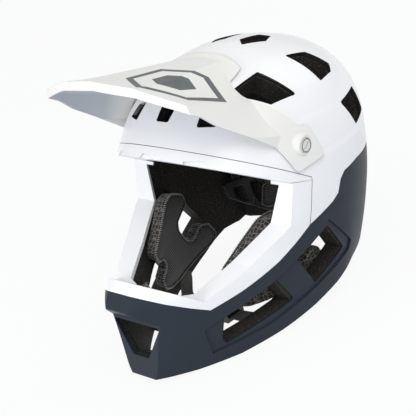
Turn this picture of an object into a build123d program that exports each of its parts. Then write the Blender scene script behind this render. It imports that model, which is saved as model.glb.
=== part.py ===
from build123d import *
import math
import os

os.makedirs("parts", exist_ok=True)

# Millimetres. The helmet is drawn as it is worn, front to -Y, wearer's left to +X, and
# every piece is turned back at the end so that it stands on the cheek rims and the nape.
helmet_height = 264.0      # crown above the chin, as worn
half_width = 111.0         # outside, at the temples
chin_reach = 193.0         # outside, ahead of the middle of the head
nape_reach = 140.0         # outside, behind it
crown_lean = 18.0          # how far the crown sits behind the middle of the head
rest_tilt = 7.43           # degrees from the worn pitch to the standing one
overrun = 30.0             # how far a cutting tool runs past what it cuts

# Shells.
shell_wall = 4.0
frame_wall = 3.2           # face surround, across the cut of the eyeport
seam_gap = 0.5             # open line between two skins
fit_gap = 0.3              # between a shell and what is laid in it
recess_depth = 2.2         # sunk band along the cheek vents
notch_depth = 3.0          # recesses in the brow strip
vent_round = 2.0           # corners of the vents

# Foam, with the shell over it.
liner_side = 24.0
liner_chin = 42.0
liner_nape = 26.0
liner_crown = 28.0
rim_step = 2.0             # foam above the edge of the shell

# Peak and its hinge.
visor_wall = 2.2
visor_lift = 1.8           # air between the temples and the peak
visor_top_lift = 0.9       # and at the crown
visor_round = 3.0
lip_height = 9.0
hinge_y = -24.0
hinge_z = 184.0
hinge_gap = 0.3
screw_seat = 109.3         # flat under the screw head, from the middle
screw_head_radius = 7.0
screw_head_height = 2.0
screw_slot = 1.6
screw_shank_radius = 2.5
shank_gap = 0.05           # round the shank in the shell, the washer and the nut
boss_rim = 1.7             # wall round the screw head
boss_rise = 1.5            # of that wall, above the seat
boss_foot = 3.6            # flare of the boss where it meets the arm
nut_radius = 8.0
nut_height = 3.0
nut_pocket_gap = 0.6

# Nape cradle, each depth measured in from the foam.
arm_gap = 1.5
arm_thick = 2.5
slide_gap = 0.7            # between the fixed arms and the band
yoke_thick = 2.8
cushion_thick = 4.2
cushion_width = 26.0
cushion_height = 24.0
cushion_round = 5.0
stud_radius = 4.0
cradle_round = 2.0
dial_radius = 17.0
dial_height = 9.0
dial_front = 94.2          # on the axis, at the band's side
dial_z = 72.0
dial_tilt = 19.0           # degrees, square to the nape
dial_room = 3.0            # foam kept off the dial
grip_radius = 2.2
grip_count = 12
axle_radius = 3.0
axle_head = 2.0            # wider than the axle, and its height
axle_head_height = 1.5
axle_tail = 3.2

# Padding and chin strap.
pad_thick = 15.0
pad_round = 4.0
thin_pad = 7.0
crown_pad_width = 16.0
crown_pad_length = 96.0
chin_pad_width = 76.0
chin_pad_height = 12.0
strap_width = 18.0
strap_thick = 1.6
strap_anchor_radius = 5.5
buckle_depth = 8.5
buckle_rim = 3.0           # wider than the strap on each side
buckle_slot = 9.0
socket_length = 26.0
tongue_length = 16.0
tongue_reach = 18.0        # blade of the tongue inside the socket
tongue_thick = 4.0

# Outside form, one row for each height: height, width, chin, nape and pinch shares.
# The pinch share draws the sides in toward the middle of the chin or the brow.
station_shares = (
    (-0.045, 0.757, 0.922, 0.500, 0.42), (0.000, 0.802, 0.953, 0.571, 0.42),
    (0.080, 0.856, 0.974, 0.671, 0.44), (0.205, 0.919, 1.000, 0.800, 0.45),
    (0.292, 0.955, 1.008, 0.871, 0.42), (0.333, 0.964, 0.964, 0.907, 0.34),
    (0.367, 0.973, 0.896, 0.929, 0.26), (0.436, 0.991, 0.819, 0.964, 0.12),
    (0.530, 1.000, 0.736, 0.993, 0.02), (0.625, 1.000, 0.668, 1.000, -0.03),
    (0.720, 0.964, 0.591, 0.986, -0.05), (0.803, 0.892, 0.503, 0.921, -0.05),
    (0.879, 0.757, 0.383, 0.800, -0.04), (0.936, 0.568, 0.249, 0.636, -0.02),
    (0.973, 0.360, 0.104, 0.443, 0.00), (0.992, 0.180, -0.010, 0.271, 0.00),
    (0.998, 0.072, -0.062, 0.171, 0.00))
ring_points = 24
mid_share = 0.5            # the crown inset only thins the form above this height
cavity_pinch_share = 0.55  # of the outside pinch

# Side view outlines as worn. The first share is of the chin reach ahead of the middle and
# of the nape reach behind it, and the second is of the helmet's height.
navy_line_shares = (
    (-1.114, 0.413), (-0.938, 0.337), (-0.850, 0.294), (-0.756, 0.254), (-0.679, 0.225),
    (-0.536, 0.261), (-0.451, 0.288), (-0.347, 0.322), (-0.249, 0.363), (-0.159, 0.407),
    (0.006, 0.447), (0.069, 0.466), (0.114, 0.510), (0.168, 0.530), (0.350, 0.538), (1.143, 0.519))
navy_front_count = 10      # points of that line ahead of the post
trim_top_shares = ((-0.829, 0.898), (-0.534, 0.765), (-0.249, 0.639), (-0.109, 0.574))
trim_low_shares = ((-0.881, 0.862), (-0.575, 0.729), (-0.247, 0.588), (-0.109, 0.563))
post_shares = ((-0.109, 0.574), (-0.109, 0.563), (-0.139, 0.470), (-0.159, 0.407))
frame_front_shares = (-1.347, 0.758)
upper_zone_shares = ((1.429, 1.212), (-1.036, 1.212))
eyeport_shares = ((-0.218, 0.580), (-0.269, 0.434), (-0.487, 0.343), (-0.703, 0.268),
                  (-1.192, 0.527), (-1.192, 0.989))
rim_shares = ((-1.244, 0), (-0.741, 0), (-0.554, 0.009), (-0.345, 0.041), (-0.136, 0.079),
              (0.024, 0.116), (0.158, 0.149), (0.237, 0.169), (0.429, 0.186), (0.586, 0.167),
              (0.743, 0.114), (1.286, 0.098))
cheek_front_vent_shares = ((-0.364, 0.254), (-0.268, 0.145), (-0.612, 0.070), (-0.632, 0.089),
                           (-0.617, 0.176))
cheek_rear_vent_shares = ((-0.036, 0.365), (0.102, 0.241), (-0.136, 0.165), (-0.247, 0.294))
recess_shares = ((-0.710, 0.152), (-0.360, 0.260), (-0.033, 0.390), (0.186, 0.250),
                 (0.160, 0.220), (-0.118, 0.153), (-0.411, 0.085), (-0.682, 0.047))
foam_split_shares = ((-1.295, -0.227), (-0.187, -0.227), (-0.187, 0.420), (-0.275, 0.451),
                     (-1.295, 0.625))
nape_split_shares = ((-1.295, 0.568), (1.786, 0.568))
chin_under_shares = ((-0.882, 0.216), (-0.912, 0.000), (-0.991, 0.291))
chin_lip_shares = (-0.893, 0.374)
cheek_pad_shares = (
    (-0.269, 0.439), (-0.202, 0.447), (-0.114, 0.417), (-0.104, 0.375), (-0.207, 0.330),
    (-0.212, 0.295), (-0.171, 0.239), (-0.119, 0.223), (-0.041, 0.258), (0.029, 0.250),
    (0.086, 0.197), (0.014, 0.170), (-0.073, 0.163), (-0.311, 0.136), (-0.415, 0.140),
    (-0.477, 0.159), (-0.477, 0.197), (-0.394, 0.220), (-0.415, 0.258), (-0.472, 0.265),
    (-0.482, 0.303))
brow_pad_shares = ((-0.622, 0.705), (-0.363, 0.697), (-0.363, 0.758), (-0.622, 0.765))
visor_side_shares = (
    (-0.984, 1.136), (-0.070, 1.136), (-0.070, 0.987), (-0.111, 0.956), (-0.236, 0.922),
    (-0.249, 0.894), (-0.171, 0.831), (-0.109, 0.759), (-0.062, 0.752), (-0.021, 0.636),
    (-0.192, 0.617), (-0.249, 0.716), (-0.342, 0.766), (-0.437, 0.816), (-0.578, 0.886),
    (-0.656, 0.938), (-0.736, 0.972), (-0.984, 0.972))
hug_zone_shares = ((-0.363, 0.568), (0.071, 0.568), (0.071, 1.136), (-0.363, 1.136))
behind_lip_shares = ((-0.622, 0.568), (0, 0.568), (0, 1.136), (-0.622, 1.136))
yoke_shares = ((0.286, 0.341), (0.314, 0.356), (0.857, 0.371), (0.857, 0.197), (0.571, 0.189),
               (0.314, 0.295))
yoke_window_shares = (
    ((0.357, 0.333), (0.429, 0.335), (0.436, 0.265), (0.393, 0.261), (0.354, 0.295)),
    ((0.471, 0.337), (0.550, 0.339), (0.557, 0.235), (0.507, 0.227), (0.471, 0.250)))
fork_shares = ((0.386, 0.326), (0.429, 0.326), (0.443, 0.439), (0.514, 0.439), (0.536, 0.326),
               (0.579, 0.326), (0.571, 0.477), (0.529, 0.496), (0.429, 0.496), (0.393, 0.477))
stud_shares = (0, 0.479, 0.468)
strap_anchor_shares = (0, -0.238, 0.114)
buckle_shares = (0, -0.342, 0.053)
cushion_shares = (0.288, 0.643, 0.280)
crown_pad_shares = (0, -0.062, 0.833)
chin_pad_shares = (0, -0.674, 0.220)

# Places as worn: shares of the half width, of the chin or nape reach, and of the height.
# Each vent has the way it is cut first.
crown_vent_shares = (
    ((0.10, 0.00, 1.00), ((0.081, 0.157, 0.996), (0.180, 0.086, 0.992), (0.279, 0.243, 0.981),
                          (0.198, 0.371, 0.977), (0.090, 0.343, 0.981))),
    ((0.62, -0.20, 0.76), ((0.458, -0.241, 0.900), (0.522, -0.069, 0.932), (0.815, -0.012, 0.845),
                           (0.750, -0.156, 0.843), (0.508, -0.246, 0.888))),
    ((0.55, 0.30, 0.78), ((0.532, 0.179, 0.943), (0.550, 0.364, 0.920), (0.685, 0.471, 0.864),
                          (0.757, 0.414, 0.848), (0.815, 0.240, 0.845))),
    ((0.85, 0.45, 0.28), ((0.771, 0.589, 0.760), (0.775, 0.659, 0.661), (0.923, 0.432, 0.651),
                          (0.911, 0.311, 0.756))),
    ((0.20, 0.90, 0.40), ((0.108, 0.857, 0.811), (0.378, 0.800, 0.803), (0.414, 0.871, 0.674),
                          (0.126, 0.950, 0.682))),
    ((0.25, 0.97, 0.10), ((0.090, 0.950, 0.568), (0.468, 0.843, 0.568), (0.360, 0.871, 0.485),
                          (0.090, 0.929, 0.485))),
    ((0.35, -0.75, 0.50), ((0.351, -0.435, 0.822), (0.505, -0.389, 0.818), (0.450, -0.352, 0.864),
                           (0.342, -0.373, 0.879))))
middle_vent_shares = ((0.00, -0.80, 0.60), ((-0.068, -0.466, 0.841), (0.068, -0.466, 0.841),
                                            (0.086, -0.394, 0.902), (-0.086, -0.394, 0.902)))
chin_vent_shares = ((-0.277, -0.907, 0.205), (0.277, -0.907, 0.205), (0.092, -0.907, 0.077),
                    (-0.092, -0.907, 0.077))
tunnel_shares = (
    ((0.261, -1.016, 0.201), (-0.261, -1.016, 0.201), (-0.085, -1.016, 0.080), (0.085, -1.016, 0.080)),
    ((0.261, -0.860, 0.201), (-0.261, -0.860, 0.201), (-0.085, -0.860, 0.080), (0.085, -0.860, 0.080)),
    ((0.495, -0.580, 0.189), (-0.495, -0.580, 0.189), (-0.414, -0.580, -0.068), (0.414, -0.580, -0.068)))
middle_notch_shares = ((0.00, -1.00, 0.00), ((-0.216, -0.575, 0.682), (0.216, -0.575, 0.682),
                                             (0.108, -0.575, 0.744), (-0.108, -0.575, 0.744)))
side_notch_shares = ((0.42, -0.90, 0.00), ((0.324, -0.544, 0.652), (0.595, -0.477, 0.652),
                                           (0.486, -0.503, 0.725), (0.324, -0.544, 0.729)))
foam_vent_share = 0.9      # vents in the foam, of those in the shell
cheek_vent_share = 0.93
chin_band_share = 1.25     # of the frame's wall, along the upper edge of the chin bar

# Room in front of the face between the upper edges of the chin bar. Each level has its
# height, its half width behind and at the corner, and the places of corner and middle.
wedge_shares = ((0.174, 0.595, 0.324, -0.653, -0.725), (0.568, 0.793, 0.559, -0.751, -0.891))
wedge_back_shares = (0.429, -0.207)

# Peak, one row from the lip back: place, then height at the middle, then half width and
# height at the inner crease, at the outer crease and at the edge.
peak_shares = (
    (-0.891, 1.102, 0.414, 1.087, 0.829, 1.030, 0.847, 1.008),
    (-0.725, 1.057, 0.405, 1.044, 0.820, 0.996, 0.838, 0.970),
    (-0.492, 1.030, 0.351, 1.013, 0.757, 0.932, 0.865, 0.841),
    (-0.311, 1.009, 0.279, 0.996, 0.694, 0.890, 0.892, 0.773),
    (-0.130, 0.989, 0.198, 0.981, 0.595, 0.860, 0.865, 0.742))
peak_base_share = 0.568
lip_corner_shares = (0.901, -0.694)
lip_middle_shares = (0, -0.819)
peak_plan_back_shares = (1.171, 0.214)

# Middle line of the strap, and the way its width lies at each place.
strap_shares = (((0.554, -0.238, 0.134), (0.0, 1.0, 0.0)), ((0.550, -0.244, 0.083), (0.0, 1.0, 0.1)),
                ((0.505, -0.280, 0.057), (0.0, 1.0, 0.2)), ((0.414, -0.332, 0.053), (0.0, 1.0, 0.1)),
                ((0.270, -0.342, 0.053), (0.0, 1.0, 0.0)), ((0.162, -0.342, 0.053), (0.0, 1.0, 0.0)))


def along(share):
    """Place ahead of or behind the middle of the head."""
    return share * (nape_reach if share > 0 else chin_reach)


def spot(shares):
    x, y, z = shares
    return Vector(x * half_width, along(y), z * helmet_height)


def side_view(shares):
    return [(along(y), z * helmet_height) for y, z in shares]


def ring(shares, side, chin, nape, crown, pinch):
    height_share, width_share, chin_share, nape_share, pinch_share = shares
    z = height_share * helmet_height
    mid = mid_share * helmet_height
    if z > mid:
        z = mid + (z - mid) * (helmet_height - mid - crown) / (helmet_height - mid)
    middle = crown_lean * height_share
    width = width_share * (half_width - side)
    front = -chin_share * (chin_reach - chin)
    rear = nape_share * (nape_reach - nape)
    points = []
    for i in range(ring_points):
        turn = math.pi + 2 * math.pi * i / ring_points
        c, s = math.cos(turn), math.sin(turn)
        drawn = pinch_share * pinch * c * c if c > 0 else 0
        y = middle + (front - middle) * c if c > 0 else middle - (rear - middle) * c
        points.append((width * s * (1 - drawn), y, z))
    turns = [i / ring_points for i in range(ring_points + 1)]
    return Wire([Edge.make_spline([Vector(*p) for p in points], parameters=turns, periodic=True)])


def body(side, chin=None, nape=None, crown=None, pinch=1.0):
    chin = side if chin is None else chin
    nape = side if nape is None else nape
    crown = side if crown is None else crown
    rings = [ring(row, side, chin, nape, crown, pinch) for row in station_shares]
    return Solid.make_loft(rings)


forms = {}


def form(depth, crown=None):
    """The outside drawn in by a depth, kept so that it is lofted only once."""
    name = depth, crown
    if name not in forms:
        forms[name] = body(depth, crown=crown)
    return forms[name]


def cavity(deeper=0.0):
    """The room inside the foam, or the same room drawn in further."""
    name = "cavity", deeper
    if name not in forms:
        forms[name] = body(liner_side + deeper, liner_chin + deeper, liner_nape + deeper,
                           liner_crown + deeper, cavity_pinch_share)
    return forms[name]


def side_prism(line, near=-1, far=1):
    """Side view outline drawn across the helmet, from near to far half widths."""
    reach = half_width + 2 * overrun
    wire = Wire.make_polygon([Vector(near * reach, y, z) for y, z in line], close=True)
    return Solid.extrude(Face(wire), Vector((far - near) * reach, 0, 0))


def shift(line, by):
    """The same side view line, moved square to itself; up or back is positive."""
    moved = []
    for i, (y, z) in enumerate(line):
        ways = []
        for a, b in ((i - 1, i), (i, i + 1)):
            if a >= 0 and b < len(line):
                dy, dz = line[b][0] - line[a][0], line[b][1] - line[a][1]
                size = math.hypot(dy, dz)
                ways.append((-dz / size, dy / size))
        ny = sum(w[0] for w in ways) / len(ways)
        nz = sum(w[1] for w in ways) / len(ways)
        size = ny * ny + nz * nz
        moved.append((y + by * ny / size, z + by * nz / size))
    return moved


def as_one(shape):
    """Whatever a boolean gives back, as one solid or one compound."""
    solids = shape.solids()
    return solids[0] if len(solids) == 1 else Compound(children=list(solids))


def biggest(shape):
    return max(shape.solids(), key=lambda s: s.volume)


def cut(shape, tools):
    tools = tools if isinstance(tools, (list, tuple)) else [tools]
    return as_one(shape.cut(*tools))


def whittled(shape, tools):
    """Cut by one tool after another, the largest piece kept each time."""
    for tool in tools:
        shape = biggest(shape.cut(tool))
    return shape


def meet(shape, tool):
    return as_one(shape.intersect(tool))


def join(shape, other):
    return as_one(shape.fuse(other))


def both(piece):
    return Compound(children=[piece, piece.mirror(Plane.YZ)])


def between(outer, inner, tool):
    """What a tool holds between two nested forms."""
    return biggest(cut(meet(outer, tool), inner))


def rounded(prism, radius, along_way=(1, 0, 0)):
    """A prism with its long edges rounded."""
    way = Vector(*along_way).normalized()
    edges = [e for e in prism.edges() if abs(e.tangent_at(0.5).dot(way)) > 0.999]
    return prism.fillet(radius, edges)


def small(points, share):
    """The same opening a little smaller, for the foam behind the skin."""
    middle = [sum(c) / len(points) for c in zip(*points)]
    return [tuple(m + (c - m) * share for m, c in zip(middle, p)) for p in points]


def below(line):
    """Everything under a side view line."""
    floor = -2 * overrun
    return side_prism(list(line) + [(line[-1][0], floor), (line[0][0], floor)])


def aimed_prism(way, shares, radius=None, size_share=1.0):
    """A vent outline pushed both ways along its aim, with rounded corners if asked."""
    points = [spot(p) for p in small(shares, size_share)]
    middle = Vector(0, 0, 0)
    for p in points:
        middle += p * (1 / len(points))
    plane = Plane(origin=middle, z_dir=Vector(*way))
    inner, outer = liner_crown + overrun / 2, overrun
    flat = [plane.to_local_coords(p) for p in points]
    wire = Wire.make_polygon([plane.from_local_coords(Vector(p.X, p.Y, -inner)) for p in flat],
                             close=True)
    prism = Solid.extrude(Face(wire), plane.z_dir * (inner + outer))
    return prism if radius is None else rounded(prism, radius, way)


def mirrored(way, shares):
    return (-way[0], way[1], way[2]), [(-x, y, z) for x, y, z in shares]


def eyeport(by):
    """The eyeport in side view, its edges moved out by a wall."""
    (y0, z0), (y1, z1), (y2, z2), (y3, z3), (y4, z4), (y5, z5) = side_view(eyeport_shares)
    band = chin_band_share * by
    return side_prism([(y0 + by, z0 + by), (y1 + by, z1 - by / 2), (y2, z2 - band), (y3, z3 - band),
                       (y4, z4 - band), (y5, z5 + by)])


def plan_wedge():
    """Room in front of the face, between the two upper edges of the chin bar."""
    levels = []
    far, near = wedge_back_shares
    for z, back, corner, corner_y, front in wedge_shares:
        points = [(back, far, z), (back, near, z), (corner, corner_y, z), (0, front, z),
                  (-corner, corner_y, z), (-back, near, z), (-back, far, z)]
        levels.append(Wire.make_polygon([spot(p) for p in points], close=True))
    return Solid.make_loft(levels, ruled=True)


def crown_vents(size_share=1.0, radius=None):
    """Seven vents on each side of the crown and one over the brow."""
    tools = [aimed_prism(*middle_vent_shares, radius, size_share)]
    for way, shares in crown_vent_shares:
        tools.append(aimed_prism(way, shares, radius, size_share))
        tools.append(aimed_prism(*mirrored(way, shares), radius, size_share))
    return tools


def chin_tunnel():
    """Air way through the foam, flared from the chin vent down to the open neck."""
    sections = [Wire.make_polygon([spot(p) for p in row], close=True) for row in tunnel_shares]
    return Solid.make_loft(sections, ruled=True)


def chin_facets(by=0.0):
    """The flat below the nose of the chin, and the flat on the nose itself."""
    (corner_y, corner_z), (low_y, low_z), (nose_y, nose_z) = side_view(chin_under_shares)
    lip_y, lip_z = side_view([chin_lip_shares])[0]
    ahead = -chin_reach - 2 * overrun
    corner = corner_y + by, corner_z + by / 2
    nose = nose_y + 1.35 * by, nose_z
    lip = lip_y + 0.75 * by, lip_z - 0.65 * by
    under = side_prism([corner, (low_y + by, low_z), (low_y + by, low_z - overrun),
                        (ahead, low_z - overrun), (ahead, nose_z + nose[0] - ahead), nose])
    front = side_prism([nose, lip, (lip[0], lip[1] + overrun), (ahead, lip[1] + overrun),
                        (ahead, nose_z - overrun)])
    return [under, front]


def trim_notches():
    """Shallow recesses along the lower edge of the brow strip."""
    ways = [middle_notch_shares, side_notch_shares, mirrored(*side_notch_shares)]
    return [cut(aimed_prism(*way), form(notch_depth)) for way in ways]


def skins():
    """The hard outside: crown, cheeks, face surround and brow strip."""
    half = seam_gap / 2
    navy, post = side_view(navy_line_shares), side_view(post_shares)
    trim_top, trim_low = side_view(trim_top_shares), side_view(trim_low_shares)
    outer = cut(form(0), [below(side_view(rim_shares)), eyeport(0)] + chin_facets())
    skin = biggest(cut(outer, cut(form(shell_wall), chin_facets(shell_wall))))
    band = cut(meet(outer, eyeport(frame_wall)), [cavity(), plan_wedge()])
    frame_low = shift(navy[:navy_front_count], half)
    frame_rear = shift(post[1:], -half)
    frame_top = shift(trim_low, -half)
    frame_zone = side_prism(frame_low[:-1] + frame_rear[::-1] + frame_top[:-1][::-1]
                            + side_view([frame_front_shares]))
    trim_zone = side_prism(shift(trim_low, half) + shift(trim_top, -half)[::-1])
    frame = join(meet(skin, frame_zone), meet(band, frame_zone))
    trim = cut(join(meet(skin, trim_zone), meet(band, trim_zone)), trim_notches())
    lower = meet(skin, below(shift(navy, -half)))
    upper_edge = shift(trim_top[:-1] + post + navy[navy_front_count:], half)
    upper = meet(skin, side_prism(upper_edge + side_view(upper_zone_shares)))
    return biggest(upper), biggest(lower), biggest(frame), biggest(trim)


def lower_shell(lower):
    """Chin and cheeks, with the sunk band, the cheek vents and the chin vent."""
    sunk = cut(side_prism(side_view(recess_shares)), form(recess_depth))
    front = rounded(side_prism(side_view(cheek_front_vent_shares)), vent_round)
    rear = rounded(side_prism(side_view(cheek_rear_vent_shares)), vent_round)
    chin = aimed_prism((0, -1, 0), chin_vent_shares, vent_round)
    return biggest(cut(lower, [sunk, front, rear, chin]))


def x_bar(radius, start, stop, y=hinge_y, z=hinge_z):
    """A round bar across the helmet."""
    return Solid.make_cylinder(radius, stop - start,
                               Plane(origin=(start, y, z), z_dir=(1, 0, 0)))


def upper_shell(upper):
    hole = screw_shank_radius + shank_gap
    hinge = x_bar(hole, -half_width - overrun, half_width + overrun)
    return biggest(cut(upper, crown_vents(radius=vent_round) + [hinge]))


def foam():
    """Crown foam, nape foam and chin foam, laid against the inside of the skins."""
    zone = side_view(foam_split_shares)
    outside = form(shell_wall + fit_gap)
    inside = [cavity(), plan_wedge(), eyeport(frame_wall + fit_gap),
              below(shift(side_view(rim_shares), rim_step))]
    cheek_vents = [side_prism(small(side_view(cheek_front_vent_shares), cheek_vent_share)),
                   side_prism(small(side_view(cheek_rear_vent_shares), cheek_vent_share))]
    chin = whittled(meet(outside, side_prism(zone)), inside + chin_facets(shell_wall + fit_gap)
                    + cheek_vents + [chin_tunnel()])
    behind = side_prism([(y + fit_gap, z + fit_gap) for y, z in zone])
    half_room = dial_radius + dial_room
    pocket = dial_plane() * Pos(0, -overrun, dial_height / 2) * Box(
        2 * half_room, 2 * (overrun + half_room), 3 * dial_height)
    start = half_width - shell_wall - nut_height - liner_side / 2
    nuts = [x_bar(nut_radius + nut_pocket_gap, start, half_width + overrun),
            x_bar(nut_radius + nut_pocket_gap, -half_width - overrun, -start)]
    whole = biggest(cut(outside, inside + [behind]))
    low = below(side_view(nape_split_shares))
    crown = biggest(cut(whole, [low] + crown_vents(foam_vent_share) + nuts))
    nape = biggest(cut(meet(whole, low), crown_vents(foam_vent_share) + cheek_vents[1:] + [pocket]))
    return crown, nape, chin


def peak_form(by=0.0):
    """The faceted peak ahead of the crown, drawn in by a wall or left at its outside."""
    wires = []
    for y, z0, a, z1, b, z2, c, z3 in peak_shares:
        base = spot((c, y, peak_base_share))
        half = [spot((a, y, z1)) + Vector(-0.3, 0, -1.03) * by,
                spot((b, y, z2)) + Vector(-0.8, 0, -1.1) * by,
                spot((c, y, z3)) + Vector(-1.1, 0, -0.3) * by,
                base + Vector(-1.1, 0, 0) * by]
        middle = [spot((0, y, z0)) + Vector(0, 0, -1) * by]
        points = half[::-1] + middle + [Vector(-p.X, p.Y, p.Z) for p in half]
        wires.append(Wire.make_polygon(points, close=True))
    return Solid.make_loft(wires)


def peak_plan(back=0.0):
    """Plan outline of the peak, with its bowed front edge."""
    corner_x, corner_y, _ = spot((*lip_corner_shares, 0))
    _, middle_y, _ = spot((*lip_middle_shares, 0))
    back_x, back_y, _ = spot((*peak_plan_back_shares, 0))
    left, right = Vector(corner_x, corner_y + back, 0), Vector(-corner_x, corner_y + back, 0)
    left_back, right_back = Vector(back_x, back_y, 0), Vector(-back_x, back_y, 0)
    front = Edge.make_three_point_arc(right, Vector(0, middle_y + back, 0), left)
    sides = [Edge.make_line(left, left_back), Edge.make_line(left_back, right_back),
             Edge.make_line(right_back, right)]
    return Solid.extrude(Face(Wire([front] + sides)), Vector(0, 0, helmet_height + 3 * overrun))


def screw_boss(outer):
    """Flared seat round a visor screw, blended into the arm under it."""
    top = screw_head_radius + hinge_gap + boss_rim
    rise = screw_seat + boss_rise - outer
    plane = Plane(origin=(outer, hinge_y, hinge_z), z_dir=(1, 0, 0))
    return Solid.make_cone(top + boss_foot, top, rise, plane)


def visor():
    """One moulded peak: hugging the crown behind, faceted and lipped ahead."""
    outline = meet(rounded(side_prism(side_view(visor_side_shares)), visor_round), peak_plan())
    near_in = form(-visor_lift, -visor_top_lift)
    near_out = form(-visor_lift - visor_wall, -visor_top_lift - visor_wall)
    peak_out, peak_in = peak_form(), peak_form(visor_wall)
    zone = meet(outline, side_prism(side_view(hug_zone_shares)))
    hug = cut(meet(near_out, zone), [near_in, peak_in])
    peak = cut(meet(peak_out, outline), [peak_in, near_in])
    below_lip = Pos(0, 0, -lip_height - 2 * visor_wall) * peak_form(-2 * visor_wall)
    lip = cut(meet(peak_out, outline), [peak_plan(visor_wall), below_lip,
                                        side_prism(side_view(behind_lip_shares))])
    boss = screw_boss(screw_seat - 3 * visor_wall)
    whole = join(join(join(hug, peak), lip), cut(both(boss), near_in))
    seat = x_bar(screw_head_radius + hinge_gap, screw_seat, screw_seat + overrun)
    shank = screw_shank_radius + hinge_gap
    through = x_bar(shank, -half_width - overrun, half_width + overrun)
    return biggest(cut(biggest(whole), [through, seat, seat.mirror(Plane.YZ)]))


def screw():
    """Visor screw: low slotted head on a shank."""
    seat = screw_seat + hinge_gap
    head = x_bar(screw_head_radius, seat, seat + screw_head_height)
    rim = [e for e in head.edges().filter_by(GeomType.CIRCLE)
           if e.center().X > seat + screw_head_height / 2]
    head = head.fillet(screw_head_height / 4, rim)
    shank = x_bar(screw_shank_radius, half_width - liner_side + 2 * nut_height, seat)
    slot = Pos(seat + screw_head_height, hinge_y, hinge_z) * Rot(35, 0, 0) * Box(
        screw_head_height, 1.1 * screw_head_radius, screw_slot)
    return cut(join(head, shank), slot)


def ring_bar(radius, hole):
    """A bar round the hinge with a hole along it, run past both shells."""
    start, stop = half_width - liner_side, half_width + overrun
    return cut(x_bar(radius, start, stop), x_bar(hole, start - overrun, stop + overrun))


def washer():
    disc = ring_bar(screw_head_radius + hinge_gap + boss_rim, screw_shank_radius + shank_gap)
    outer = form(-visor_lift + 2 * hinge_gap, -visor_top_lift + 2 * hinge_gap)
    return biggest(cut(meet(outer, disc), form(0)))


def nut():
    disc = ring_bar(nut_radius, screw_shank_radius + shank_gap)
    return biggest(cut(meet(form(shell_wall), disc), form(shell_wall + nut_height)))


def half_prism(line):
    """Side view outline drawn on the wearer's left half only."""
    return side_prism(line, near=0.05)


def cheek_pad():
    return between(cavity(fit_gap), cavity(pad_thick),
                   rounded(half_prism(side_view(cheek_pad_shares)), pad_round))


def thin_pads():
    """Pads laid along the foam at the brow, over the crown and inside the chin bar."""
    brow = rounded(side_prism(side_view(brow_pad_shares)), visor_round)
    tall = 3 * overrun
    crown = Location(spot(crown_pad_shares)) * Box(crown_pad_width, crown_pad_length, tall)
    crown = rounded(crown, crown_pad_width / 3, (0, 0, 1))
    chin = Location(spot(chin_pad_shares)) * Box(chin_pad_width, tall, chin_pad_height)
    tools = {"brow_pad": brow, "crown_pad": crown, "chin_pad": chin}
    return {name: between(cavity(fit_gap), cavity(thin_pad), tool) for name, tool in tools.items()}


def cradle():
    """Nape cradle: forked arms fixed to the foam, and the band that slides inside them."""
    arm_in = arm_gap + arm_thick
    yoke_out = arm_in + slide_gap
    yoke_in = yoke_out + yoke_thick
    windows = [rounded(side_prism(side_view(shares)), cradle_round) for shares in yoke_window_shares]
    band = rounded(side_prism(side_view(yoke_shares)), cradle_round)
    yoke = between(cavity(yoke_out), cavity(yoke_in), band)
    pin = dial_bar(axle_radius, -overrun, overrun)
    yoke = biggest(cut(yoke, windows + [pin]))
    arm = between(cavity(arm_gap), cavity(arm_in), half_prism(side_view(fork_shares)))
    _, stud_y, stud_z = spot(stud_shares)
    stud = x_bar(stud_radius, half_width / 3, half_width, stud_y, stud_z)
    stud = between(cavity(), cavity(arm_gap), stud)
    cushion = Location(spot(cushion_shares)) * Box(cushion_width, 2 * overrun, cushion_height)
    cushion = rounded(cushion, cushion_round, (0, 1, 0))
    seat = yoke_in + fit_gap
    return yoke, arm, stud, between(cavity(seat), cavity(seat + cushion_thick), cushion)


def dial_plane():
    """Square to the back of the band, with Z out of the helmet and Y up."""
    lean = math.radians(dial_tilt)
    return Plane(origin=(0, dial_front, dial_z), x_dir=(-1, 0, 0),
                 z_dir=(0, math.cos(lean), -math.sin(lean))).location


def dial_bar(radius, start, stop, across=0.0, up=0.0):
    return dial_plane() * Pos(across, up, start) * Solid.make_cylinder(radius, stop - start)


def dial():
    disc = cut(dial_bar(dial_radius, 0, dial_height),
               dial_bar(axle_radius + hinge_gap, -overrun, overrun))
    grips = []
    for i in range(grip_count):
        turn = 2 * math.pi * i / grip_count
        grips.append(dial_bar(grip_radius, 0.3 * dial_height, overrun,
                              dial_radius * math.cos(turn), dial_radius * math.sin(turn)))
    return biggest(cut(disc, grips))


def axle():
    back = dial_height + hinge_gap
    pin = dial_bar(axle_radius, -axle_tail, back + axle_head_height)
    return join(pin, dial_bar(axle_radius + axle_head, back, back + axle_head_height))


def strap():
    """Chin webbing of the wearer's left side, from its anchor down to the buckle."""
    centres = [spot(place) for place, _ in strap_shares]
    wires = []
    for i, (_, across) in enumerate(strap_shares):
        ahead = centres[min(i + 1, len(centres) - 1)]
        way = (ahead - centres[max(i - 1, 0)]).normalized()
        wide = Vector(*across)
        wide = (wide - way * wide.dot(way)).normalized() * (strap_width / 2)
        thick = way.cross(wide).normalized() * (strap_thick / 2)
        c = centres[i]
        wires.append(Wire.make_polygon([c + wide + thick, c - wide + thick, c - wide - thick,
                                        c + wide - thick], close=True))
    return Solid.make_loft(wires, ruled=True)


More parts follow.
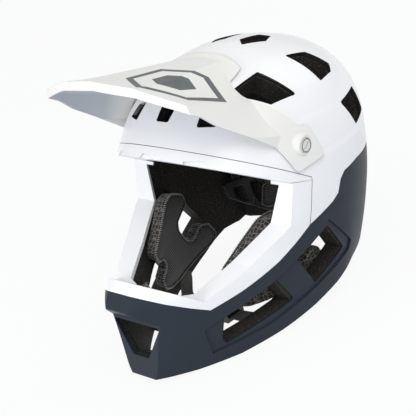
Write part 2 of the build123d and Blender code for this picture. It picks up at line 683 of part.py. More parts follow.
def buckle():
    """Side squeeze buckle under the chin: socket on the right strap, tongue on the left."""
    middle = Location(spot(buckle_shares))
    width = strap_width + 2 * buckle_rim
    slot = Box(buckle_slot, strap_width + 2 * fit_gap, strap_thick + 2 * fit_gap)
    blade_width, wall = strap_width - 2 * buckle_rim, buckle_rim / 2
    face = tongue_length / 3
    socket = Pos(face - socket_length / 2, 0, 0) * Box(socket_length, width, buckle_depth)
    room = Pos(face - tongue_reach / 2, 0, 0) * Box(
        tongue_reach + wall, blade_width + 2 * fit_gap, tongue_thick + 2 * fit_gap)
    socket = cut(socket, [room, Pos(face - socket_length, 0, 0) * slot])
    tongue = Pos(face + fit_gap + tongue_length / 2, 0, 0) * Box(tongue_length, width, buckle_depth)
    blade = Pos(face - tongue_reach / 2 + wall, 0, 0) * Box(tongue_reach, blade_width, tongue_thick)
    tongue = cut(join(tongue, blade), Pos(face + fit_gap + tongue_length, 0, 0) * slot)
    return middle * socket, middle * tongue


def strap_anchor():
    """Disc on the foam that the end of a strap is held to."""
    _, y, z = spot(strap_anchor_shares)
    top = spot(strap_shares[0][0]).X
    stub = x_bar(strap_anchor_radius, top + strap_thick / 2 + fit_gap, half_width, y, z)
    return biggest(meet(cavity(), stub))


def resting(pieces):
    """Turns the whole back until it stands, its middle over the origin and its rim on z = 0."""
    turn = Location((0, 0, 0), (-rest_tilt, 0, 0))
    box = Compound(children=[turn * piece for piece in pieces.values()]).bounding_box()
    return Location((0, -box.center().Y, -box.min.Z)) * turn


def tell(name, place, points):
    """Prints resting places in millimetres."""
    spots = [(place * Vertex(*p)).center() for p in points]
    print(name, *[tuple(round(v, 3) for v in spot_at) for spot_at in spots])


def assembly():
    upper, lower, frame, trim = skins()
    crown_foam, nape_foam, chin_foam = foam()
    yoke, arm, stud, cushion = cradle()
    socket, tongue = buckle()
    web, pad = strap(), cheek_pad()
    pieces = {
        "upper_shell": upper_shell(upper), "lower_shell": lower_shell(lower),
        "face_frame": frame, "brow_trim": trim, "crown_liner": crown_foam,
        "nape_liner": nape_foam, "chin_liner": chin_foam, "visor": visor(),
        "visor_screws": both(screw()), "visor_washers": both(washer()),
        "visor_nuts": both(nut()), "cheek_pad_left": pad,
        "cheek_pad_right": pad.mirror(Plane.YZ), "cradle_yoke": yoke, "cradle_arm_left": arm,
        "cradle_arm_right": arm.mirror(Plane.YZ), "arm_anchors": both(stud),
        "nape_pads": both(cushion), "size_dial": dial(), "dial_axle": axle(), "strap_left": web,
        "strap_right": web.mirror(Plane.YZ), "strap_anchors": both(strap_anchor()),
        "buckle_socket": socket, "buckle_tongue": tongue}
    pieces.update(thin_pads())
    return pieces


def main():
    pieces = assembly()
    place = resting(pieces)
    for name, shape in pieces.items():
        export_step(place * shape, "parts/%s.step" % name)
        print(name, len(shape.solids()), round(shape.volume), shape.is_valid)
    print("placed at", place.position, "turned by", rest_tilt)
    tell("visor hinge", place, [(0, hinge_y, hinge_z)])
    tell("dial front", place, [tuple(dial_plane().position)])


if __name__ == "__main__":
    main()
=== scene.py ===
import math

import bmesh
import bpy
from mathutils import Matrix, Vector
from mathutils.bvhtree import BVHTree
from mathutils.kdtree import KDTree


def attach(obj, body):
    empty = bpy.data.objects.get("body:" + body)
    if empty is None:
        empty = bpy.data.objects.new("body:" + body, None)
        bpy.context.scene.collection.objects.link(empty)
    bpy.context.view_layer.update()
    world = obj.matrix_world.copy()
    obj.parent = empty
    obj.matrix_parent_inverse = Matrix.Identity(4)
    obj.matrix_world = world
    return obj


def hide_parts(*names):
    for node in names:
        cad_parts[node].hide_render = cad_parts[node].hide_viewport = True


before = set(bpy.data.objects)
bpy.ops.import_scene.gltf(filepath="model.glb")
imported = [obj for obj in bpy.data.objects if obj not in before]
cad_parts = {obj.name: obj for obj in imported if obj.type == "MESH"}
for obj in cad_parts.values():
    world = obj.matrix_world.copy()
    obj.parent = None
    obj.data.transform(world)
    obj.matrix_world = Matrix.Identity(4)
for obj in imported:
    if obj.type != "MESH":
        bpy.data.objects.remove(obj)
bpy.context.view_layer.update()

# Camera, in metres: in front of the helmet on its left and above it, where the photograph
# was taken from, turned about the upright, tipped down, and rolled clockwise.
lens_place = (0.81497, -0.71813, 0.65207)
lens_turn = math.radians(49.770)
lens_dip = math.radians(26.975)
lens_roll = math.radians(-17.769)
camera = bpy.data.cameras.new("camera")
camera.lens = 108.17
camera.sensor_width = 36
camera.clip_start = 0.05
eye = bpy.data.objects.new("camera", camera)
bpy.context.collection.objects.link(eye)
eye.matrix_world = (Matrix.Translation(lens_place) @ Matrix.Rotation(lens_turn, 4, "Z")
                    @ Matrix.Rotation(math.pi / 2 - lens_dip, 4, "X") @ Matrix.Rotation(lens_roll, 4, "Z"))
bpy.context.scene.camera = eye


# Face surround and brow strip: injection moulded skins in a white satin lacquer. Its tone
# drifts a little, its edges are slightly round, and it has a faint orange peel.
def finish(name, colour, rough, metal=0.0, coat=0.0, sheen=0.0):
    made = bpy.data.materials.new(name)
    made.use_nodes = True
    skin = made.node_tree.nodes["Principled BSDF"]
    skin.inputs["Base Color"].default_value = (*colour, 1)
    skin.inputs["Roughness"].default_value = rough
    skin.inputs["Metallic"].default_value = metal
    skin.inputs["Coat Weight"].default_value = coat
    skin.inputs["Coat Roughness"].default_value = 0.15
    skin.inputs["Sheen Weight"].default_value = sheen
    return made, skin


def layer(skin, kind, wires=(), **settings):
    """A node in the skin's tree: a small first letter sets the node, a capital an input."""
    tree = skin.id_data
    added = tree.nodes.new("ShaderNode" + kind)
    for key, value in settings.items():
        if key[0].islower():
            setattr(added, key, value)
        else:
            added.inputs[key.replace("_", " ")].default_value = value
    for socket, source in dict(wires).items():
        tree.links.new(source, added.inputs[socket])
    return added


def place_on(skin):
    return layer(skin, "TexCoord").outputs["Object"]


def between(skin, source, start, end, low=0.0, high=1.0, ease="LINEAR"):
    """From low, where the source is at start, to high, where it is at end."""
    return layer(skin, "MapRange", {"Value": source}, interpolation_type=ease, From_Min=start,
                 From_Max=end, To_Min=low, To_Max=high).outputs["Result"]


def paint(skin, source, *stops):
    """The colour of the skin, in tones that follow a pattern."""
    ramp = layer(skin, "ValToRGB", {"Fac": source})
    stripe = ramp.color_ramp.elements
    while len(stripe) < len(stops):
        stripe.new(0.5)
    for element, (at, colour) in zip(stripe, stops):
        element.position = at
        element.color = (*colour, 1)
    skin.id_data.links.new(ramp.outputs["Color"], skin.inputs["Base Color"])


def relief(skin, height, strength, depth, under=None):
    wires = {"Height": height}
    if under is not None:
        wires["Normal"] = under
    raised = layer(skin, "Bump", wires, Strength=strength, Distance=depth)
    skin.id_data.links.new(raised.outputs["Normal"], skin.inputs["Normal"])
    return raised


def lacquer(name, pale, deep, rough, coat, peel=0.08, mirror=0.5):
    made, skin = finish(name, pale, rough, coat=coat)
    skin.inputs["Specular IOR Level"].default_value = mirror
    place = place_on(skin)
    cloud = layer(skin, "TexNoise", {"Vector": place}, Scale=9.0, Detail=3.0)
    paint(skin, cloud.outputs["Fac"], (0.32, deep), (0.68, pale))
    spray = layer(skin, "TexNoise", {"Vector": place}, Scale=60.0, Detail=4.0)
    gloss = between(skin, spray.outputs["Fac"], 0.0, 1.0, rough - 0.04, rough + 0.05)
    skin.id_data.links.new(gloss, skin.inputs["Roughness"])
    rounded = layer(skin, "Bevel", samples=4, Radius=0.0007)
    fine = layer(skin, "TexNoise", {"Vector": place}, Scale=950.0, Detail=3.0)
    relief(skin, fine.outputs["Fac"], peel, 0.0002, rounded.outputs["Normal"])
    return made


def dress(made, *names):
    for name in names:
        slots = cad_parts[name].data.materials
        slots.clear()
        slots.append(made)


white = (0.88, 0.886, 0.902)
shaded_white = (0.852, 0.859, 0.878)
white_rough = 0.30
white_coat = 0.25
dress(lacquer("white_lacquer", white, shaded_white, white_rough, white_coat), "face_frame", "brow_trim")

# Upper shell: the same white skin, moulded onto its foam, so the walls of its vents stay
# black. A wall is told by how far it turns from the round form of the crown.

# A place as worn, with the helmet level, is tipped back onto the cheek rims and the nape.
stand = Matrix.Translation((0, 0.00899095, -0.0161826)) @ Matrix.Rotation(math.radians(-7.43), 4, "X")
crown_middle = stand @ Vector((0, -0.008, 0.118))
crown_half = Vector((0.1109, 0.160, 0.1449))
wall_facing = 0.42
skin_facing = 0.50
wall_black = (0.020, 0.018, 0.016)

# The sockets of a Mix node that carry colours.
under_colour, over_colour, mixed_colour = 6, 7, 2


def tint(skin, amount, colour):
    """Another colour over the painted one, as far as the amount says."""
    over = layer(skin, "Mix", {"Factor": amount}, data_type="RGBA")
    skin.id_data.links.new(skin.inputs["Base Color"].links[0].from_socket, over.inputs[under_colour])
    over.inputs[over_colour].default_value = (*colour, 1)
    skin.id_data.links.new(over.outputs[mixed_colour], skin.inputs["Base Color"])


crown = lacquer("crown_lacquer", white, shaded_white, white_rough, white_coat)
skin = crown.node_tree.nodes["Principled BSDF"]
slope = Vector([1 / half ** 2 for half in crown_half])
round_form = layer(skin, "Mapping", {"Vector": place_on(skin)}, vector_type="POINT")
round_form.inputs["Location"].default_value = -crown_middle * slope
round_form.inputs["Scale"].default_value = slope
outward = layer(skin, "VectorMath", {0: round_form.outputs["Vector"]}, operation="NORMALIZE")
facet = layer(skin, "NewGeometry").outputs["True Normal"]
flush = layer(skin, "VectorMath", {0: outward.outputs["Vector"], 1: facet}, operation="DOT_PRODUCT")
either_way = layer(skin, "Math", {0: flush.outputs["Value"]}, operation="ABSOLUTE")
tint(skin, between(skin, either_way.outputs[0], wall_facing, skin_facing, 1.0, 0.0), wall_black)

# Folds of the upper shell: on each side the skin steps in twice, softly, along two lines
# that run back from the hinge and fade out at both ends.
fold_half = 0.004
fold_depth = 0.0016
front_fade = 0.012
rear_fade = 0.02


def product(skin, one, other):
    return layer(skin, "Math", {0: one, 1: other}, operation="MULTIPLY").outputs[0]


def fold(place, square, level, front, rear):
    """A step where the plane square to a direction passes, between two places along the length."""
    off = layer(skin, "VectorMath", {0: place}, operation="DOT_PRODUCT")
    off.inputs[1].default_value = square
    step = between(skin, off.outputs["Value"], level - fold_half, level + fold_half, ease="SMOOTHSTEP")
    along = layer(skin, "SeparateXYZ", {"Vector": place}).outputs["Y"]
    start = between(skin, along, front - front_fade, front + front_fade, ease="SMOOTHSTEP")
    end = between(skin, along, rear - rear_fade, rear + rear_fade, 1.0, 0.0, ease="SMOOTHSTEP")
    return product(skin, step, product(skin, start, end))


place = layer(skin, "SeparateXYZ", {"Vector": place_on(skin)})
out = layer(skin, "Math", {0: place.outputs["X"]}, operation="ABSOLUTE").outputs[0]
either_side = layer(skin, "CombineXYZ", {"X": out, "Y": place.outputs["Y"], "Z": place.outputs["Z"]})
upper = fold(either_side.outputs["Vector"], (0.350, -0.160, -0.923), -0.1397, 0.016, 0.085)
lower = fold(either_side.outputs["Vector"], (0.105, -0.125, -0.987), -0.1401, 0.030, 0.100)
folds = layer(skin, "Math", {0: upper, 1: lower}, operation="ADD")
relief(skin, folds.outputs[0], 1.0, fold_depth, skin.inputs["Normal"].links[0].from_socket)
dress(crown, "upper_shell")

# Lower shell: cheeks and chin bar in one moulding, in a dark slate lacquer that is
# duller than the white, with a stronger peel.
slate = (0.0275, 0.0348, 0.0475)
shaded_slate = (0.023, 0.0293, 0.0405)
dress(lacquer("slate_lacquer", slate, shaded_slate, 0.42, 0.0, peel=0.12, mirror=0.14), "lower_shell")


# Foam: black beads fused in a mould, in three blocks glued to the shells. A cut or moulded
# face shows the beads as a fine brown-grey fleck, a little sunk where they meet.
foam, skin = finish("black_foam", (0.020, 0.017, 0.014), 0.82)
place = place_on(skin)
bead = layer(skin, "TexVoronoi", {"Vector": place}, Scale=330.0)
fleck = layer(skin, "TexNoise", {"Vector": place}, Scale=700.0, Detail=2.0)
paint(skin, fleck.outputs["Fac"], (0.40, (0.006, 0.005, 0.004)), (0.56, (0.014, 0.012, 0.010)),
      (0.68, (0.060, 0.051, 0.043)))
grit = relief(skin, bead.outputs["Distance"], 0.5, 0.0007)
grit.invert = True
relief(skin, fleck.outputs["Fac"], 0.35, 0.0003, grit.outputs["Normal"])
dress(foam, "crown_liner", "nape_liner", "chin_liner")


# Peak: one moulding of a warmer white than the shell, with the same fine grain. The
# underside of its front is tinted a cooler, greyer tone: painted shade.
peak_white = (0.815, 0.812, 0.785)
shaded_peak = (0.790, 0.787, 0.758)
painted_shade_grey = (0.50, 0.53, 0.57)
shade_facing_down = (-0.30, -0.10)
shade_front_end = (-0.040, -0.015)
peak_skin = lacquer("peak_white", peak_white, shaded_peak, 0.40, 0.08)
skin = peak_skin.node_tree.nodes["Principled BSDF"]
facet = layer(skin, "SeparateXYZ", {"Vector": layer(skin, "NewGeometry").outputs["True Normal"]})
under = between(skin, facet.outputs["Z"], *shade_facing_down, 1.0, 0.0)
place = layer(skin, "SeparateXYZ", {"Vector": place_on(skin)})
front = between(skin, place.outputs["Y"], *shade_front_end, 1.0, 0.0)
# Painted shade: downward faces at the front of the peak are tinted grey.
tint(skin, product(skin, under, front), painted_shade_grey)
dress(peak_skin, "visor")

# Mark on the peak: a plain hexagon in a hexagonal ring, printed in slate grey on the
# wearer's left half. It is a thin film that follows the surface under it.
mark_place = Vector((0.042, -0.058, 0))
mark_radius = 0.041
mark_stroke = 0.0062
mark_core = 0.018
mark_cuts = 14
film = 0.00025
drop_height = 0.5


def keep_as(name, made_mesh, *finishes):
    mesh = bpy.data.meshes.new(name)
    made_mesh.to_mesh(mesh)
    made_mesh.free()
    for made in finishes:
        mesh.materials.append(made)
    piece = bpy.data.objects.new(name, mesh)
    bpy.context.collection.objects.link(piece)
    return piece


def flat_ring(radius, width, segments):
    """A flat ring about the origin, as wide as said inside its radius."""
    ring = bmesh.new()
    bmesh.ops.create_circle(ring, cap_ends=True, segments=segments, radius=radius)
    kept = bmesh.ops.inset_individual(ring, faces=ring.faces[:], thickness=width)["faces"]
    bmesh.ops.delete(ring, geom=[f for f in ring.faces if f not in kept], context="FACES")
    return ring


printed = flat_ring(mark_radius, mark_stroke, 6)
bmesh.ops.create_circle(printed, cap_ends=True, cap_tris=True, segments=6, radius=mark_core)
bmesh.ops.subdivide_edges(printed, edges=printed.edges[:], cuts=mark_cuts, use_grid_fill=True)
peak_mesh = bmesh.new()
peak_mesh.from_mesh(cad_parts["visor"].data)
peak_top = BVHTree.FromBMesh(peak_mesh)
peak_mesh.free()
for v in printed.verts:
    start = Vector((mark_place.x + v.co.x, mark_place.y + v.co.y, drop_height))
    hit, way, _, _ = peak_top.ray_cast(start, Vector((0, 0, -1)))
    v.co = hit + way * film
bmesh.ops.recalc_face_normals(printed, faces=printed.faces[:])
if sum(f.normal.z for f in printed.faces) < 0:
    bmesh.ops.reverse_faces(printed, faces=printed.faces[:])
bmesh.ops.solidify(printed, geom=printed.faces[:], thickness=2 * film)
ink, skin = finish("print_grey", (0.095, 0.112, 0.122), 0.45)
wear = layer(skin, "TexNoise", {"Vector": place_on(skin)}, Scale=140.0, Detail=4.0)
paint(skin, wear.outputs["Fac"], (0.35, (0.085, 0.101, 0.110)), (0.65, (0.105, 0.124, 0.135)))
mark = keep_as("peak_mark", printed, ink)
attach(mark, "peak")

# Hinge of the peak: pale satin screws that a coin turns, rubber washers that hold the
# peak by friction, and nuts let into the foam.
steel, skin = finish("screw_metal", (0.70, 0.69, 0.665), 0.32, metal=0.35)
turned = layer(skin, "TexNoise", {"Vector": place_on(skin)}, Scale=1600.0, Detail=2.0)
relief(skin, turned.outputs["Fac"], 0.15, 0.0001)
dress(steel, "visor_screws", "visor_nuts", "dial_axle")
rubber, skin = finish("black_rubber", (0.018, 0.018, 0.018), 0.7)
tooth = layer(skin, "TexNoise", {"Vector": place_on(skin)}, Scale=1500.0, Detail=3.0)
relief(skin, tooth.outputs["Fac"], 0.25, 0.0002)
dress(rubber, "visor_washers", "size_dial")

# Seals: a thin black rubber ring round the head of each screw, level with the boss on the
# arm of the peak.
hinge = stand @ Vector((0, -0.024, 0.184))
seal_out = 0.11168
seal_radius = 0.0064
seal_width = 0.0008
seal_thick = 0.0003
for side, name in ((1, "left"), (-1, "right")):
    seal = flat_ring(seal_radius, seal_width, 48)
    bmesh.ops.solidify(seal, geom=seal.faces[:], thickness=seal_thick)
    seat = Matrix.Translation((side * seal_out, hinge.y, hinge.z))
    upright = Matrix.Rotation(side * math.pi / 2, 4, "Y")
    bmesh.ops.transform(seal, verts=seal.verts, matrix=seat @ upright)
    bmesh.ops.recalc_face_normals(seal, faces=seal.faces[:])
    piece = keep_as("screw_seal_" + name, seal, rubber)
    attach(piece, "helmet")


# Cloth of the pads: the face against the skin is a fine ribbed knit, and the wall round
# it an open spacer mesh of brown-grey thread over black wadding. Grey thread sews them,
# made pale enough to be a painted highlight along the edge of the face.
knit, skin = finish("ribbed_knit", (0.036, 0.038, 0.035), 0.62, sheen=0.2)
skin.inputs["Sheen Roughness"].default_value = 0.4
place = place_on(skin)
rib = layer(skin, "TexWave", {"Vector": place}, bands_direction="Z", Scale=142.0, Distortion=0.6,
            Detail=2.0, Detail_Scale=0.6)
course = layer(skin, "TexWave", {"Vector": place}, bands_direction="Y", Scale=330.0, Distortion=0.8)
both = layer(skin, "Mix", {"A": rib.outputs["Fac"], "B": course.outputs["Fac"]}, Factor=0.10)
paint(skin, both.outputs["Result"], (0.2, (0.009, 0.0095, 0.0085)), (0.85, (0.064, 0.067, 0.061)))
relief(skin, both.outputs["Result"], 0.8, 0.0007)

spacer, skin = finish("spacer_mesh", (0.05, 0.044, 0.038), 0.85, sheen=0.2)
place = place_on(skin)
cell = layer(skin, "TexVoronoi", {"Vector": place}, feature="DISTANCE_TO_EDGE", Scale=235.0, Randomness=0.45)
strand = layer(skin, "TexNoise", {"Vector": place}, Scale=1300.0, Detail=2.0)
paint(skin, cell.outputs["Distance"], (0.02, (0.15, 0.135, 0.12)), (0.07, (0.075, 0.067, 0.060)),
      (0.115, (0.004, 0.0035, 0.003)))
net = relief(skin, cell.outputs["Distance"], 0.8, 0.0012)
net.invert = True
relief(skin, strand.outputs["Fac"], 0.3, 0.0003, net.outputs["Normal"])

# Painted highlight: the stitch thread is pale, so the edges of the pads show a bright dotted line.
thread_and_highlight, skin = finish("seam_thread_and_highlight", (0.34, 0.345, 0.33), 0.5, sheen=0.3)
ply = layer(skin, "TexNoise", {"Vector": place_on(skin)}, Scale=2400.0, Detail=1.0)
relief(skin, ply.outputs["Fac"], 0.4, 0.0002)

# Cheek pads: moulded foam about 15 mm thick, cloth covered and whip stitched round the
# face, with a rolled edge. They are pressed to the foam on hook tape.
stitch_step = 0.0023
stitch_half = 0.0011
stitch_thick = 0.00036
stitch_sink = 0.0003
roll_step = 0.002
roll_thick = 0.0010
roll_sink = 0.0004
least_seam = 0.02
merge = 1e-6
smoothings = 10
softenings = 6
least_points = 8
crown_reach = 0.006
seam_depth = 0.0006
seam_reach = 0.002

# How squarely the surface of a pad faces its own way inside the seam, where it crowns up,
# and where its cloth is knit and no longer mesh.
seam_facing = 0.6
crown_facing = 0.5
knit_facing = 0.55


def solid_of(node):
    form = bmesh.new()
    form.from_mesh(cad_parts[node].data)
    bmesh.ops.remove_doubles(form, verts=form.verts, dist=merge)
    return form


def settled(shape):
    """The mesh that a shape's modifier or bevel makes of it. The shape itself goes."""
    bpy.context.view_layer.update()
    mesh = bpy.data.meshes.new_from_object(shape.evaluated_get(bpy.context.evaluated_depsgraph_get()))
    bpy.data.objects.remove(shape)
    form = bmesh.new()
    form.from_mesh(mesh)
    bpy.data.meshes.remove(mesh)
    return form


def facing(face, way):
    return face.normal.dot(way) > seam_facing


def seam_loops(form, way):
    """The closed lines where the face of a piece meets its wall, with the way out there."""
    edges = {e: True for e in form.edges if len(e.link_faces) == 2
             and facing(e.link_faces[0], way) != facing(e.link_faces[1], way)}
    found = []
    while edges:
        edge = next(iter(edges))
        del edges[edge]
        first, at = edge.verts
        line = [first, at]
        while at is not first:
            ahead = next((e for e in at.link_edges if e in edges), None)
            if ahead is None:
                break
            del edges[ahead]
            at = ahead.other_vert(at)
            line.append(at)
        if sum((b.co - a.co).length for a, b in zip(line, line[1:])) > least_seam:
            found.append([(v.co.copy(), v.normal.copy()) for v in line[:-1]])
    return found


def evenly(line, gap):
    """The same closed line, softened, with a point at every gap and the way out at each."""
    spots = [p for p, _ in line]
    count = len(spots)
    for _ in range(softenings):
        spots = [(spots[i - 1] + spots[i] * 2 + spots[(i + 1) % count]) / 4 for i in range(count)]
    lengths = [(spots[(i + 1) % count] - spots[i]).length for i in range(count)]
    number = max(least_points, round(sum(lengths) / gap))
    even, run, i = [], 0.0, 0
    for k in range(number):
        aim = sum(lengths) * k / number
        while run + lengths[i] < aim:
            run += lengths[i]
            i += 1
        share = (aim - run) / lengths[i]
        nxt = (i + 1) % count
        even.append((spots[i].lerp(spots[nxt], share), line[i][1].lerp(line[nxt][1], share).normalized()))
    return even


def tube_piece(name, runs, thick, made, closed):
    """One mesh of round tubes: a run of two points is a straight stitch, a longer one curves."""
    curve = bpy.data.curves.new(name, "CURVE")
    curve.dimensions = "3D"
    curve.bevel_depth = thick
    curve.bevel_resolution = 1
    curve.resolution_u = 2
    curve.use_fill_caps = True
    for run in runs:
        straight = len(run) == 2
        spline = curve.splines.new("POLY" if straight else "NURBS")
        spline.points.add(len(run) - 1)
        for point, spot in zip(spline.points, run):
            point.co = (*spot, 1)
        if not straight:
            spline.order_u = 3
        spline.use_cyclic_u = closed
    shape = bpy.data.objects.new(name, curve)
    bpy.context.collection.objects.link(shape)
    tube = settled(shape)
    bpy.data.curves.remove(curve)
    bmesh.ops.remove_doubles(tube, verts=tube.verts, dist=merge)
    bmesh.ops.recalc_face_normals(tube, faces=tube.faces[:])
    for face in tube.faces:
        face.smooth = True
        face.material_index = 0
    return keep_as(name, tube, made)


def stuffed(node, way, voxel, swell, body="helmet"):
    """A sewn pad in the CAD solid's place: its face crowns up from the seam all round."""
    way = way.normalized()
    form = solid_of(node)
    lines = seam_loops(form, way)
    block = keep_as(node + "_block", form)
    wadding = block.modifiers.new("wadding", "REMESH")
    wadding.mode = "VOXEL"
    wadding.voxel_size = voxel
    pad = settled(block)
    for _ in range(smoothings):
        bmesh.ops.smooth_vert(pad, verts=pad.verts, factor=0.5,
                              use_axis_x=True, use_axis_y=True, use_axis_z=True)
    pad.normal_update()
    rolls = [evenly(line, roll_step) for line in lines]
    seam = KDTree(sum(len(line) for line in rolls))
    for i, (spot, _) in enumerate(p for line in rolls for p in line):
        seam.insert(spot, i)
    seam.balance()
    for v in pad.verts:
        if v.normal.dot(way) > crown_facing:
            far = seam.find(v.co)[2]
            rise = swell * (1 - math.exp(-far / crown_reach)) - seam_depth * math.exp(-far / seam_reach)
            v.co += v.normal * rise
    pad.normal_update()
    for face in pad.faces:
        face.smooth = True
        face.material_index = 0 if face.normal.dot(way) > knit_facing else 1
    piece = keep_as(node + "_cloth", pad, knit, spacer)
    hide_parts(node)
    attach(piece, body)
    sunk = [[p - n * roll_sink for p, n in line] for line in rolls]
    roll = tube_piece(node + "_edge", sunk, roll_thick, knit, True)
    stitches = []
    for line in (evenly(line, stitch_step) for line in lines):
        for i, (spot, out) in enumerate(line):
            run = (line[(i + 1) % len(line)][0] - spot).normalized()
            over = run.cross(out).normalized()
            top = spot + out * (roll_thick - stitch_sink)
            slant = over * stitch_half + run * stitch_half / 2
            stitches.append([top - slant, top + slant])
    sewn = tube_piece(node + "_stitches", stitches, stitch_thick, thread_and_highlight, False)
    for extra in (roll, sewn):
        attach(extra, body)


cheek_voxel = 0.0014
cheek_swell = 0.0016
stuffed("cheek_pad_right", Vector((1, 0, 0)), cheek_voxel, cheek_swell)
stuffed("cheek_pad_left", Vector((-1, 0, 0)), cheek_voxel, cheek_swell)

# Comfort pads: thin knit over soft foam on the crown, the brow, the chin bar and the two
# ends of the cradle's band.
thin_voxel = 0.0012
thin_swell = 0.0009
for node, way, body in (("crown_pad", (0, 0, -1), "helmet"), ("brow_pad", (0, 1, -0.3), "helmet"),
                        ("chin_pad", (0, 1, 0.1), "helmet"), ("nape_pads", (0, -1, 0.1), "nape_cradle")):
    stuffed(node, stand.to_3x3() @ Vector(way), thin_voxel, thin_swell, body)

# Chin strap: black polyester webbing, 18 mm wide with a rolled selvedge, riveted at the
# anchors and sewn through the buckle halves.
webbing, skin = finish("webbing", (0.060, 0.058, 0.054), 0.7, sheen=0.25)
across = layer(skin, "UVMap", uv_map="weave").outputs["UV"]
warp = layer(skin, "TexWave", {"Vector": across}, bands_direction="X", Scale=320.0, Distortion=0.3)
weft = layer(skin, "TexWave", {"Vector": across}, bands_direction="DIAGONAL", Scale=200.0, Distortion=0.3)
weave = layer(skin, "Mix", {"A": warp.outputs["Fac"], "B": weft.outputs["Fac"]}, Factor=0.5)
paint(skin, weave.outputs["Result"], (0.25, (0.022, 0.021, 0.019)), (0.8, (0.105, 0.100, 0.092)))
relief(skin, weave.outputs["Result"], 0.6, 0.0004)

# The strap's line as worn, in shares of the helmet's half width, its reach to the chin bar
# and its height, with the way that the strap's width lies at each place.
half_width = 0.111
chin_reach = 0.193
helmet_height = 0.264
strap_half = 0.009
strap_thick = 0.0016
strap_shares = (((0.554, -0.238, 0.134), (0, 1, 0)), ((0.550, -0.244, 0.083), (0, 1, 0.1)),
                ((0.505, -0.280, 0.057), (0, 1, 0.2)), ((0.414, -0.332, 0.053), (0, 1, 0.1)),
                ((0.270, -0.342, 0.053), (0, 1, 0)), ((0.162, -0.342, 0.053), (0, 1, 0)))
selvedge_shares = ((-1, -0.25), (-0.93, -0.5), (0, -0.5), (0.93, -0.5), (1, -0.25),
                   (1, 0.25), (0.93, 0.5), (0, 0.5), (-0.93, 0.5), (-1, 0.25))
for node, side in (("strap_left", 1), ("strap_right", -1)):
    spots = [stand @ Vector((side * x * half_width, y * chin_reach, z * helmet_height))
             for (x, y, z), _ in strap_shares]
    wides = [stand.to_3x3() @ Vector(wide).normalized() for _, wide in strap_shares]
    band = bmesh.new()
    coords = band.loops.layers.uv.new("weave")
    flat = band.verts.layers.float_vector.new("flat")
    run, last = 0.0, None
    for i, (spot, wide) in enumerate(zip(spots, wides)):
        ahead = spots[min(i + 1, len(spots) - 1)] - spots[max(i - 1, 0)]
        thin = ahead.cross(wide).normalized()
        run += (spot - spots[i - 1]).length if i else 0
        verts = [band.verts.new(spot + wide * strap_half * a + thin * strap_thick * b)
                 for a, b in selvedge_shares]
        for v, (a, _) in zip(verts, selvedge_shares):
            v[flat] = (a * strap_half, run, 0)
        edges = [band.edges.new((verts[k - 1], verts[k])) for k in range(len(verts))]
        if last:
            bmesh.ops.bridge_loops(band, edges=last + edges)
        last = edges
    bmesh.ops.holes_fill(band, edges=band.edges, sides=12)
    bmesh.ops.recalc_face_normals(band, faces=band.faces[:])
    for face in band.faces:
        face.smooth = True
        for loop in face.loops:
            loop[coords].uv = loop.vert[flat].xy
    piece = keep_as(node + "_webbing", band, webbing)
    smooth = piece.modifiers.new("weave", "SUBSURF")
    smooth.levels = smooth.render_levels = 3
    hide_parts(node)
    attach(piece, "helmet")

# Buckle, strap anchors and nape cradle: glass filled nylon with a fine spark eroded
# grain, moulded black. A paler bead on the edges of the cradle's band and arms is painted highlight.
nylon, skin = finish("black_nylon", (0.026, 0.026, 0.030), 0.30)
spark = layer(skin, "TexNoise", {"Vector": place_on(skin)}, Scale=1800.0, Detail=3.0)
gloss = between(skin, spark.outputs["Fac"], 0.0, 1.0, 0.20, 0.32)
skin.id_data.links.new(gloss, skin.inputs["Roughness"])
rounded = layer(skin, "Bevel", samples=4, Radius=0.0004)
relief(skin, spark.outputs["Fac"], 0.25, 0.0002, rounded.outputs["Normal"])
# Painted highlight: pale nylon for the bead traced round the outlines of the cradle's arms and band.
highlight_nylon, skin = finish("painted_highlight_nylon", (0.075, 0.075, 0.082), 0.28)
spark = layer(skin, "TexNoise", {"Vector": place_on(skin)}, Scale=1800.0, Detail=3.0)
relief(skin, spark.outputs["Fac"], 0.2, 0.0002)
rim_thick = 0.00045
for node, way, body in (("cradle_arm_left", (-1, 0, 0), "helmet"), ("cradle_arm_right", (1, 0, 0), "helmet"),
                        ("cradle_yoke", (0, -1, 0), "nape_cradle")):
    form = solid_of(node)
    lines = seam_loops(form, Vector(way))
    form.free()
    runs = [[p for p, _ in evenly(line, roll_step)] for line in lines]
    rim = tube_piece(node + "_rim", runs, rim_thick, highlight_nylon, True)
    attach(rim, body)
dress(nylon, "cradle_yoke", "cradle_arm_left", "cradle_arm_right", "arm_anchors",
      "strap_anchors", "buckle_socket", "buckle_tongue")

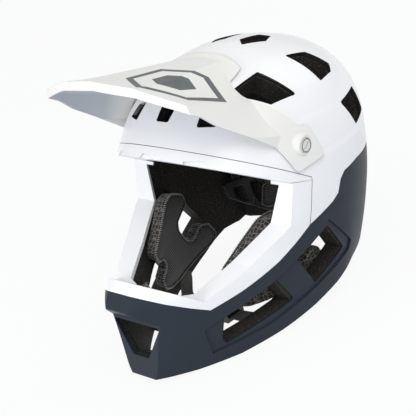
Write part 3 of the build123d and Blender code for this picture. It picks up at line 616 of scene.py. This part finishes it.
# Room: a pale floor that shows nearly white and keeps the helmet's shadow, a bright soft
# sky, and three broad lamps as in a small product studio.
floor_half = 4
floor_glow = 0.92
sky_light = 0.61
helmet_middle = Vector((0, 0, 0.14))


def seen_by(skin, *kinds):
    """1 for rays of these kinds, and 0 for the rest."""
    path = layer(skin, "LightPath")
    seen = path.outputs[f"Is {kinds[0]} Ray"]
    for kind in kinds[1:]:
        wires = {0: seen, 1: path.outputs[f"Is {kind} Ray"]}
        seen = layer(skin, "Math", wires, operation="MAXIMUM").outputs[0]
    return seen


floor_mesh = bmesh.new()
bmesh.ops.create_grid(floor_mesh, x_segments=1, y_segments=1, size=floor_half)
paper, matt = finish("floor_paper", (0.62, 0.66, 0.72), 0.9)
share = between(matt, seen_by(matt, "Camera", "Transmission", "Glossy"), 0.0, 1.0, 0.0, floor_glow)
glow = layer(matt, "Emission", Strength=1.0)
shown = layer(matt, "MixShader", {"Fac": share, 1: matt.outputs["BSDF"], 2: glow.outputs["Emission"]})
matt.id_data.links.new(shown.outputs["Shader"], matt.id_data.nodes["Material Output"].inputs["Surface"])
keep_as("floor", floor_mesh, paper)


def lamp(name, at, size, power):
    light = bpy.data.lights.new(name, "AREA")
    light.size = size
    light.energy = power
    lit = bpy.data.objects.new(name, light)
    bpy.context.collection.objects.link(lit)
    aim = Vector(at) - helmet_middle
    lit.matrix_world = Matrix.Translation(at) @ aim.to_track_quat("Z", "Y").to_matrix().to_4x4()


lamp("key", (1.0, -0.45, 1.4), 1.2, 12.7)
lamp("fill", (-0.5, -1.7, 0.55), 1.4, 18)
lamp("rear", (0.3, 1.5, 1.4), 1.2, 4)

world = bpy.data.worlds.new("world")
bpy.context.scene.world = world
world.use_nodes = True
sky = world.node_tree.nodes["Background"]
sky.inputs["Color"].default_value = (1, 1, 1, 1)
level = between(sky, seen_by(sky, "Camera", "Transmission"), 0.0, 1.0, sky_light, 1.0)
sky.id_data.links.new(level, sky.inputs["Strength"])

bpy.context.scene.view_settings.view_transform = "Standard"
